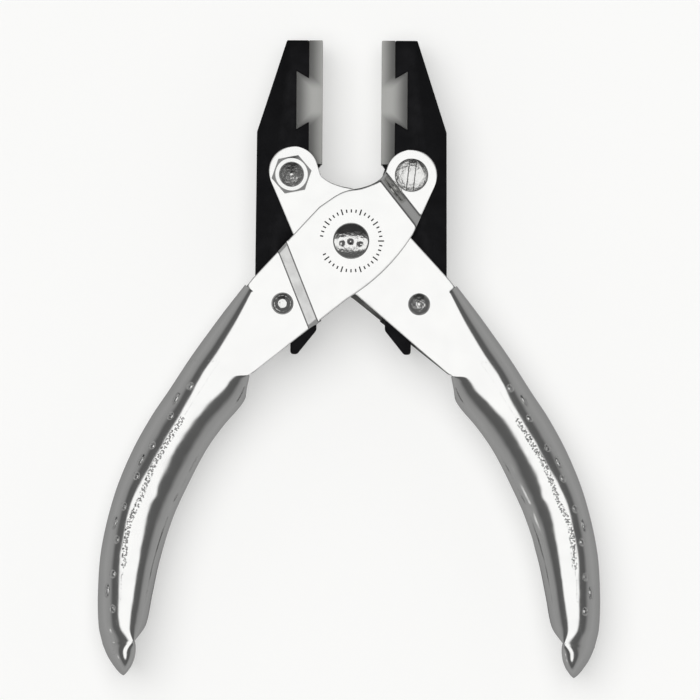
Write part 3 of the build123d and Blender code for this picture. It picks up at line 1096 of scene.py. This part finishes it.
@dataclass
class TickRing:
    """Short struck ticks round the centre rivet, in place of any wording."""

    radius: float = 5.95
    long: float = 1.2
    wide: float = 0.27
    deep: float = 0.05
    count: int = 40
    height: float = 7.06
    long_every: int = 4
    short_share: float = 0.55
    # The ring is left open from half a turn to this angle in radians.
    gap_end: float = -2.75

    def build(self, finish: Material) -> Thing:
        """Makes the ring on the raised front cheek.

        Args:
            finish: Material of the ticks, a dark painted shade.

        Returns:
            The ring as a plain mesh.
        """
        sizes = {
            "Radius": self.radius, "Length": self.long, "Width": self.wide,
            "Depth": self.deep, "Height": self.height,
        }
        tree, given = start_tree("ring of ticks", sizes, "Count", self.count)
        round_it = {"Vertices": given["Count"], "Radius": given["Radius"]}
        ring = add_node(tree, "GeometryNodeMeshCircle", round_it)
        place = add_node(tree, "GeometryNodeInputPosition").outputs[0]
        parts = add_node(tree, "ShaderNodeSeparateXYZ", {0: place}).outputs
        turn = reckon(tree, "ARCTAN2", parts[1], parts[0])
        index = add_node(tree, "GeometryNodeInputIndex").outputs[0]
        fourth = reckon(tree, "MODULO", index, float(self.long_every))
        share = remap(tree, reckon(tree, "GREATER_THAN", fourth, 0.5), (0.0, 1.0), (1.0, self.short_share))
        box = {0: given["Length"], 1: given["Width"], 2: given["Depth"]}
        size = add_node(tree, "ShaderNodeCombineXYZ", box).outputs[0]
        inputs = {
            "Points": ring.outputs[0],
            "Instance": add_node(tree, "GeometryNodeMeshCube", {"Size": size}).outputs[0],
            "Rotation": add_node(tree, "ShaderNodeCombineXYZ", {"Z": turn}).outputs[0],
            "Scale": add_node(tree, "ShaderNodeCombineXYZ", {"X": share, "Y": 1.0, "Z": 1.0}).outputs[0],
            "Selection": reckon(tree, "GREATER_THAN", turn, self.gap_end),
        }
        placed = add_node(tree, "GeometryNodeInstanceOnPoints", inputs).outputs[0]
        lift = add_node(tree, "ShaderNodeCombineXYZ", {"Z": given["Height"]}).outputs[0]
        raised = add_node(tree, "GeometryNodeTransform", {"Geometry": placed, "Translation": lift}).outputs[0]
        end_tree(tree, raised, finish)
        return grow(Pad([(0.0, 0.0, 0.0)], []).piece("struck_tick_ring"), tree, sizes)


# ---------------------------------------------------------------- jaws


def twin_blocks(
    name: str, outline: Sequence[Plan], half_depth: float, edge: float, segments: int
) -> list[Thing]:
    """Cuts the left and the right of two equal blocks.

    Args:
        name: What each is called before its side.
        outline: Plan of the right one.
        half_depth: Half its thickness.
        edge: How wide its edges are rounded.
        segments: Facets of the rounding.

    Returns:
        The left and the right block.
    """
    pad = Pad()
    pad.prism(outline, -half_depth, half_depth)
    sides = (("left", half_turn), ("right", same))
    return [rounded(pad.piece(f"{name}_{side}", place), edge, segments, 30) for side, place in sides]


@dataclass
class Jaw:
    """Right jaw holder: a black steel blade with a dovetail seat and a slotted tail."""

    half_depth: float = 3.95
    back: tuple[Plan, ...] = ((8.6, 40.0), (13.0, 40.0), (18.9, 21.7), (19.2, -22.2), (15.21, -20.8))
    slot: Spot = (13.61, -12.52, 1.6)
    # Corners of the tail inside the slot, each with its rounding.
    tail: tuple[Spot, ...] = ((10.7, -22.6, 0.8), (6.85, -17.8, 1.3), (6.85, 13.4, 0.0), (6.63, 14.65, 0.0))
    seat: tuple[Plan, ...] = ((6.1, 15.3), (8.6, 15.3), (8.6, 23.7), (11.1, 22.2), (11.1, 33.9), (8.6, 32.4))
    edge: float = 0.22

    def build(self) -> list[Thing]:
        """Builds the left and the right jaw holder."""
        x, y, r = self.slot
        tail = eased([(x - r, y, 0), (x - r, self.tail[0][1], 0.7), *self.tail])
        outline = [*self.seat, *self.back, *arc((x, y), r, 0, 180, 16)[:-1], *tail]
        return twin_blocks("jaw_holder", outline, self.half_depth, self.edge, 2)


@dataclass
class NylonFace:
    """Right jaw's replaceable face, held by its dovetail."""

    half_depth: float = 3.95
    edge: float = 0.16
    outline: tuple[Plan, ...] = (
        (5.9, 15.3), (8.6, 15.3), (8.6, 23.7), (11.1, 22.2),
        (11.1, 33.9), (8.6, 32.4), (8.6, 40.0), (5.9, 40.0),
    )

    def build(self) -> list[Thing]:
        """Builds the left and the right face."""
        return twin_blocks("nylon_face", self.outline, self.half_depth, self.edge, 3)


# ---------------------------------------------------------------- fasteners


@dataclass
class CentreRivet:
    """Rivet of two cheeks: a low head with a ridge and three dimples, and a flush head in the throat."""

    shank: float = 2.5
    head: float = 3.6
    base: float = 7.05
    rise: float = 1.1
    sunk: float = 3.3
    inside: float = 3.98
    edge: float = 0.15
    around: int = 72
    # How fast the head falls along its ridge and across it, and where the ridge lies.
    ridge: Spot = (0.018, 0.0605, -0.32)
    dimple_spread: float = 0.26
    dimples: tuple[Spot, ...] = ((-1.9, -0.55, 0.2), (-0.1, -0.15, 0.25), (1.9, -0.7, 0.2))

    def crown(self, x: float, y: float) -> float:
        """Finds the height of the head above the cheek.

        Args:
            x: Where, to the right of its middle.
            y: Where, above its middle.

        Returns:
            The height.
        """
        along, across, middle = self.ridge
        height = self.rise - along * x * x - across * (y - middle) ** 2
        for u, v, deep in self.dimples:
            height -= deep * math.exp(-((x - u) ** 2 + (y - v) ** 2) / self.dimple_spread)
        return height

    def build(self) -> list[Thing]:
        """Builds both rivets.

        Returns:
            The front and the rear one.
        """
        top = self.head - self.edge
        rows = []
        crowned = [(max(1e-4, r), 0.0) for r in even(top, 21)] + [(top + 0.1, 0.04), (top + self.edge, 0.14)]
        for r, drop in crowned:
            ring = arc((0, 0), r, 0, 360, self.around)[:-1]
            heights = [self.crown(x, y) if drop == 0 else max(0.1, self.crown(x, y) - drop) for x, y in ring]
            rows.append([(x, y, self.base + height) for (x, y), height in zip(ring, heights)])
        below = [(self.head, self.base), (self.shank, self.base), (self.shank, self.inside + 0.8)]
        below += [(self.sunk, self.inside + 0.02), (self.sunk - 0.05, self.inside), (1e-4, self.inside)]
        for r, z in below:
            rows.append([(x, y, z) for x, y in arc((0, 0), r, 0, 360, self.around)[:-1]])
        pad = Pad()
        pad.grid(rows, closed=True)
        sides = (("front", same), ("rear", half_turn))
        return [settle(pad.piece(f"centre_button_{side}", place), 30) for side, place in sides]


@dataclass
class GuidePin:
    """Short rivet that runs in a jaw tail's slot, headed on both cheeks."""

    centre: Plan = (-13.61, -12.52)
    shank: float = 1.45
    head: float = 2.2
    base: float = 5.5
    rise: float = 0.68
    # Head profiles from middle to rim, as shares of its radius and rise: with a flat middle, and domed.
    ringed: tuple[Plan, ...] = (
        (0.0, 1.0), (0.38, 1.0), (0.47, 0.94), (0.6, 0.66),
        (0.72, 0.58), (0.85, 0.52), (0.95, 0.34), (1.0, 0.15),
    )
    domed: tuple[Plan, ...] = tuple((s, 1 - 0.62 * s**1.15 - 0.23 * s**8) for s in even(1, 9))

    def profile(self, shares: Sequence[Plan], side: int) -> list[Plan]:
        """Head profile at full size, in front or, with a side of -1, behind."""
        return [(self.head * r, side * (self.base + self.rise * h)) for r, h in shares]

    def build(self) -> list[Thing]:
        """Builds both pins; on the right one the domed head is in front.

        Returns:
            The left and the right one.
        """
        turned = self.profile(self.ringed, 1) + [(self.head, self.base), (self.shank, self.base)]
        turned += [(self.shank, -self.base), (self.head, -self.base)] + self.profile(self.domed, -1)[::-1]
        pad = Pad()
        pad.lathe(turned, self.centre, 48)
        sides = (("left", same), ("right", half_turn))
        return [settle(pad.piece(f"guide_rivet_{side}", place), 30) for side, place in sides]


@dataclass
class PivotScrew:
    """Slotted pivot screw of the right jaw, with its end peened over past the nut."""

    centre: Plan = (11.93, 13.15)
    head: float = 3.3
    base: float = 5.5
    rise: float = 1.8
    edge: float = 0.22
    # Width, depth and lean in degrees.
    slot: Spot = (1.25, 0.8, 6.5)
    shank: float = 2.0
    far: float = -7.62
    end: float = 2.4
    end_rise: float = 0.53

    def build(self) -> list[Thing]:
        """Builds both screws.

        Returns:
            The right and the left one.
        """
        width, deep, lean = self.slot
        floor = self.base + self.rise - deep
        pad = Pad()
        pad.prism([(x, y) for x, y in arc(self.centre, self.head, 0, 360, 72)[:-1]], self.base, floor)
        reach = math.degrees(math.asin(width / 2 / self.head))
        for side in (0, 180):
            half = arc(self.centre, self.head, side - 90 - lean + reach, 180 - 2 * reach, 40)
            pad.prism(half, floor - 0.02, self.base + self.rise)
        rod = [(1e-4, self.base + 0.1), (self.shank, self.base + 0.1), (self.shank, self.far)]
        peened = [(self.end * s, self.far - self.end_rise * (1 - s**1.15)) for s in even(1, 8)]
        body = Pad()
        body.lathe(rod + [(self.end, self.far + 0.02)] + peened[::-1], self.centre, 48)
        made = []
        for name, place in (("right", same), ("left", half_turn)):
            top = rounded(pad.piece(f"slotted_screw_{name}", place), self.edge, 2, 40)
            made.append(join(top, settle(body.piece(f"screw_rod_{name}", place), 30)))
        return made


def join(first: Thing, second: Thing) -> Thing:
    """Makes one object of two.

    Args:
        first: The one that gets both meshes.
        second: The one that is removed.

    Returns:
        The first object.
    """
    shape = bmesh.new()
    shape.from_mesh(first.data)
    shape.from_mesh(second.data)
    shape.to_mesh(first.data)
    shape.free()
    bpy.data.objects.remove(second, do_unlink=True)
    return first


@dataclass
class PivotNut:
    """Hexagon nut with its corners chamfered by a cone; the left jaw's is in front."""

    centre: Plan = (-11.93, 13.15)
    flats: float = 7.0
    height: float = 2.2
    base: float = 5.5
    turn: float = 11.0
    crown: float = 3.22
    chamfer: float = 30.0
    bore: float = 2.0

    def build(self) -> list[Thing]:
        """Builds both nuts.

        Returns:
            The left and the right one.
        """
        top = self.base + self.height
        columns = []
        for angle in even(360, 120)[:-1]:
            c, s = unit(angle + self.turn)
            wide = self.flats / 2 / math.cos(math.radians(angle % 60 - 30))
            shoulder = top - (wide - self.crown) * math.tan(math.radians(self.chamfer))
            shape = ((self.bore, self.base), (wide, self.base), (wide, shoulder), (self.crown, top))
            shape += ((self.bore + 0.5, top), (self.bore, top - 0.3), (self.bore, self.base))
            columns.append([(self.centre[0] + r * c, self.centre[1] + r * s, z) for r, z in shape])
        pad = Pad()
        pad.grid(list(zip(*columns)), closed=True)
        sides = (("left", same), ("right", half_turn))
        return [settle(pad.piece(f"hex_nut_{side}", place), 20) for side, place in sides]


# ---------------------------------------------------------------- stage


@dataclass
class Stage:
    """Pale board, soft light and the camera above."""

    floor: float = -8.25
    middle: Plan = (-0.1, -21.7)
    view_wide: float = 140.0
    roll: float = -0.35
    lens: float = 300.0
    sensor: float = 36.0
    # Azimuth, angle from overhead, radius, softness and light: a dark flag and a small lamp.
    patches: tuple[tuple[float, ...], ...] = ((90.0, 42.0, 19.0, 8.0, 0.03), (201.9, 70.3, 1.5, 3.0, 0.85))
    # Share of the way from overhead to underfoot, and how bright the room is there.
    room: tuple[Plan, ...] = (
        (0.0, 1.0), (0.085, 1.0), (0.12, 0.1), (0.26, 0.09),
        (0.34, 0.26), (0.5, 0.3), (0.6, 0.28), (1.0, 0.22),
    )
    strength: float = 1.12
    board_reach: float = 1500.0
    key_energy: float = 2.1
    key_spread: float = 60.0
    key_lean: Plan = (-14.0, -10.0)

    def board(self) -> None:
        """Lays the board under the tool."""
        pad = Pad()
        ring = arc(self.middle, self.board_reach, 0, 360, 64)[:-1]
        pad.cap([(x, y, self.floor) for x, y in ring])
        thing = pad.piece("board")
        thing.data.materials.append(PALE_BOARD.make())
        thing.visible_glossy = False

    def camera(self) -> None:
        """Hangs the camera straight above, with a long lens."""
        data = bpy.data.cameras.new("camera")
        data.lens = self.lens
        data.sensor_width = self.sensor
        data.clip_end = 20.0
        thing = bpy.data.objects.new("camera", data)
        distance = self.view_wide * MM * self.lens / self.sensor
        thing.location = (self.middle[0] * MM, self.middle[1] * MM, distance)
        thing.rotation_euler = Euler((0, 0, math.radians(-self.roll)))
        bpy.context.scene.collection.objects.link(thing)
        bpy.context.scene.camera = thing

    def sky(self) -> None:
        """Soft room light: bright overhead, dimmer down the walls, pale low down."""
        world = bpy.data.worlds.new("studio")
        bpy.context.scene.world = world
        world.use_nodes = True
        tree = world.node_tree
        tree.nodes.clear()
        way = add_node(tree, "ShaderNodeTexCoord").outputs["Generated"]
        height = add_node(tree, "ShaderNodeSeparateXYZ", {0: way}).outputs["Z"]
        share = reckon(tree, "DIVIDE", reckon(tree, "ARCCOSINE", height), math.pi)
        ramp = add_node(tree, "ShaderNodeValToRGB", {0: share})
        band = ramp.color_ramp
        while len(band.elements) < len(self.room):
            band.elements.new(0.5)
        for element, (where, light) in zip(band.elements, self.room):
            element.position = where
            element.color = (light, light, light, 1)
        light = ramp.outputs[0]
        for azimuth, tilt, wide, soft, value in self.patches:
            up, out = unit(tilt)
            inputs = {0: way, 1: (*[c * out for c in unit(azimuth)], up)}
            near = add_node(tree, "ShaderNodeVectorMath", inputs, operation="DOT_PRODUCT").outputs["Value"]
            inside = remap(tree, near, (unit(wide + soft)[0], unit(wide)[0]), (0.0, 1.0), "SMOOTHSTEP")
            mix = {0: inside, 6: light, 7: (value, value, value, 1)}
            light = add_node(tree, "ShaderNodeMix", mix, data_type="RGBA").outputs[2]
        back = add_node(tree, "ShaderNodeBackground", {"Color": light, "Strength": self.strength})
        add_node(tree, "ShaderNodeOutputWorld", {"Surface": back.outputs[0]})

    def lamps(self) -> None:
        """A broad soft lamp overhead that lights the board."""
        key = bpy.data.lights.new("overhead", "SUN")
        key.energy = self.key_energy
        key.angle = math.radians(self.key_spread)
        thing = bpy.data.objects.new("overhead", key)
        thing.rotation_euler = Euler((*map(math.radians, self.key_lean), 0))
        thing.visible_glossy = False
        bpy.context.scene.collection.objects.link(thing)

    def build(self) -> None:
        """Sets up the stage."""
        self.board()
        self.camera()
        self.sky()
        self.lamps()
        bpy.context.scene.view_settings.view_transform = "Standard"


def main() -> None:
    """Builds the pieces in order, dresses them and notes the sizes."""
    logging.basicConfig(level=logging.INFO, format="%(name)s %(message)s")
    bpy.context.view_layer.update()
    plate, black, nylon = BRIGHT_PLATE.make(), BLACK_OXIDE.make(), NATURAL_NYLON.make()
    rivet, screw, zinc, struck = RIVET_STEEL.make(), SCREW_STEEL.make(), NUT_ZINC.make(), MARK_PAINTED_SHADE.make()

    fold_inside = INNER_FOLD_PLATE.make()
    marks = GripMarks()
    tree = marks.tree(plate)
    for thing, side, turn in zip(Handle().build(), ("left", "right"), (1, -1)):
        body = f"handle_{side}"
        dress(thing, plate, body, "bright_plated_steel", body, inside=fold_inside)
        dress(marks.build(thing, f"grip_marks_{side}", turn, tree), plate, body, "bright_plated_steel")
    # The ticks are coloured with painted shade.
    dress(TickRing().build(struck), struck, "handle_left", "bright_plated_steel")

    for thing, side in zip(Jaw().build(), ("left", "right")):
        dress(thing, black, f"jaw_{side}", "blackened_steel", f"jaw_{side}")
    for thing, side in zip(NylonFace().build(), ("left", "right")):
        dress(thing, nylon, f"jaw_{side}", "natural_nylon", f"nylon_insert_{side}")

    front, rear = CentreRivet().build()
    dress(front, rivet, "handle_left", "rivet_steel", "centre_rivet_front")
    dress(rear, rivet, "handle_right", "rivet_steel", "centre_rivet_rear")
    for thing, side in zip(GuidePin().build(), ("left", "right")):
        dress(thing, rivet, f"handle_{side}", "rivet_steel", f"guide_pin_{side}")
    for thing, side, body in zip(PivotScrew().build(), ("right", "left"), ("handle_left", "handle_right")):
        dress(thing, screw, body, "screw_steel", f"pivot_screw_{side}")
    for thing, side, body in zip(PivotNut().build(), ("left", "right"), ("handle_right", "handle_left")):
        dress(thing, zinc, body, "nut_plating", f"pivot_nut_{side}")

    Stage().build()


if __name__ == "__main__":
    main()
